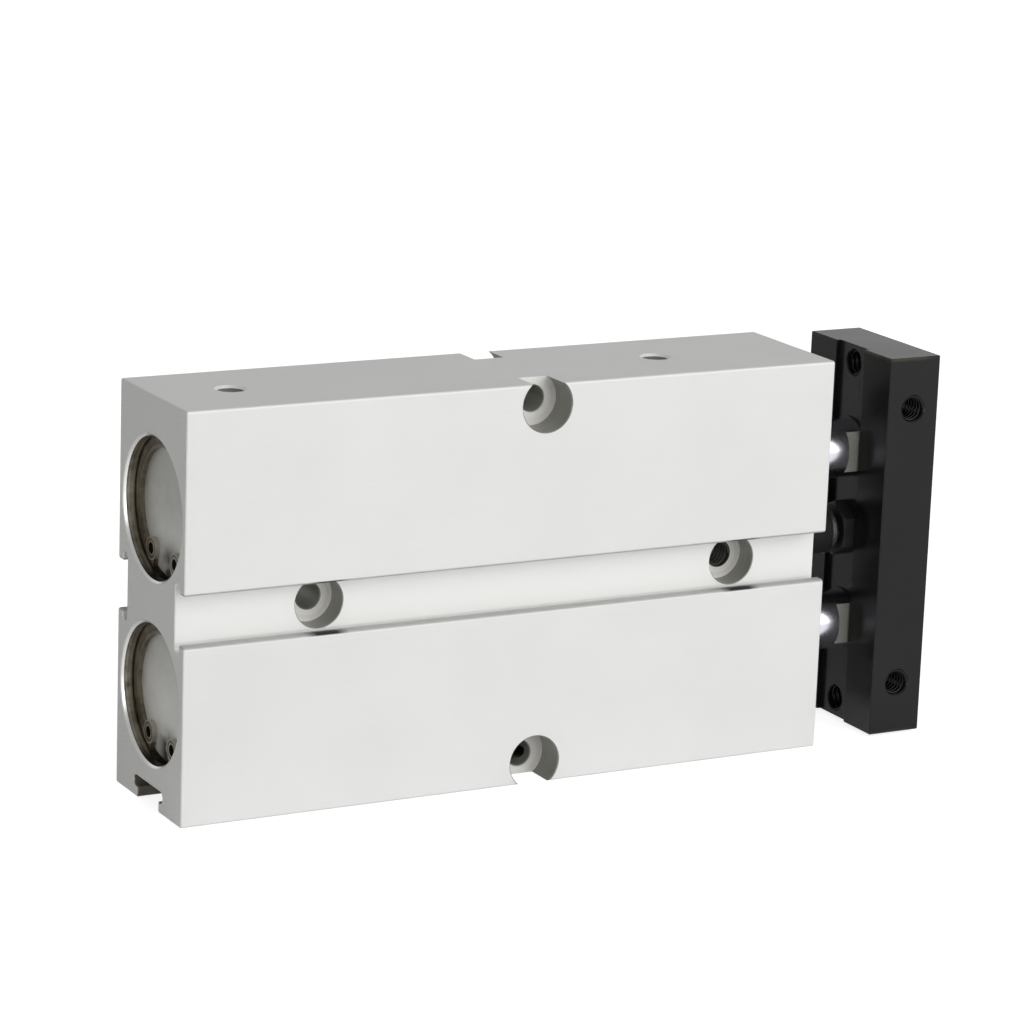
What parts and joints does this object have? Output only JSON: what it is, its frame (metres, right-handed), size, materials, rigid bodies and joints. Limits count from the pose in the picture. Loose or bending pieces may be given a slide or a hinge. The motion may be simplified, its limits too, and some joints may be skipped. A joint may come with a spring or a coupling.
{
  "type": "double rod pneumatic cylinder",
  "caption": "Pneumatic cylinder with twin bores in one slotted aluminium body; its parallel rods move a black end plate with a central adjustable bumper.",
  "frame": {"origin": "centre of the body's rear end face, midway between the two bores", "axes": "+X is the way the rods and end plate extend, +Z goes from the lower bore to the upper one, and the wide faces look along -Y and +Y"},
  "size_m": [0.1325, 0.025, 0.064],
  "materials": {
    "anodised_body": "fine clear anodised",
    "cover_metal": "turned, satin",
    "piston_metal": "turned",
    "spring_steel": "dark phosphated",
    "rod_chrome": "hard chromed, polished",
    "bush_bronze": "oiled bearing bronze",
    "seal_rubber": "nitrile rubber",
    "wear_plastic": "bearing plastic",
    "nut_steel": "zinc plated",
    "magnet_black": "bonded magnet",
    "cushion_rubber": "soft urethane",
    "black_plate": "black anodised, satin",
    "screw_steel": "zinc plated",
    "nut_black": "black oxide",
    "bumper_rubber": "soft urethane"
  },
  "bodies": {
    "barrel": {"cylinder_body": "anodised_body", "rear_cover_upper": "cover_metal", "rear_cover_lower": "cover_metal", "rear_cover_o_ring_upper": "seal_rubber", "rear_cover_o_ring_lower": "seal_rubber", "rear_circlip_upper": "spring_steel", "rear_circlip_lower": "spring_steel", "front_cover_upper": "cover_metal", "front_cover_lower": "cover_metal", "front_cover_o_ring_upper": "seal_rubber", "front_cover_o_ring_lower": "seal_rubber", "front_circlip_upper": "spring_steel", "front_circlip_lower": "spring_steel", "guide_bush_upper": "bush_bronze", "guide_bush_lower": "bush_bronze", "rod_seal_upper": "seal_rubber", "rod_seal_lower": "seal_rubber"},
    "carriage": {"piston_rod_upper": "rod_chrome", "piston_rod_lower": "rod_chrome", "piston_upper": "piston_metal", "piston_lower": "piston_metal", "wear_ring_upper": "wear_plastic", "wear_ring_lower": "wear_plastic", "piston_seal_upper": "seal_rubber", "piston_seal_lower": "seal_rubber", "piston_nut_upper": "nut_steel", "piston_nut_lower": "nut_steel", "magnet_carrier_upper": "piston_metal", "magnet_carrier_lower": "piston_metal", "magnet_upper": "magnet_black", "magnet_lower": "magnet_black", "rear_cushion_upper": "cushion_rubber", "rear_cushion_lower": "cushion_rubber", "front_cushion_upper": "cushion_rubber", "front_cushion_lower": "cushion_rubber", "end_plate": "black_plate", "rod_screws": "screw_steel", "stop_screw": "screw_steel", "stop_lock_nut": "nut_black", "bumper_pad": "bumper_rubber"}
  },
  "joints": [
    {"name": "rod_slide", "type": "slide", "parent": "barrel", "child": "carriage", "axis": [1, 0, 0], "range_m": [0, 0.05]}
  ]
}
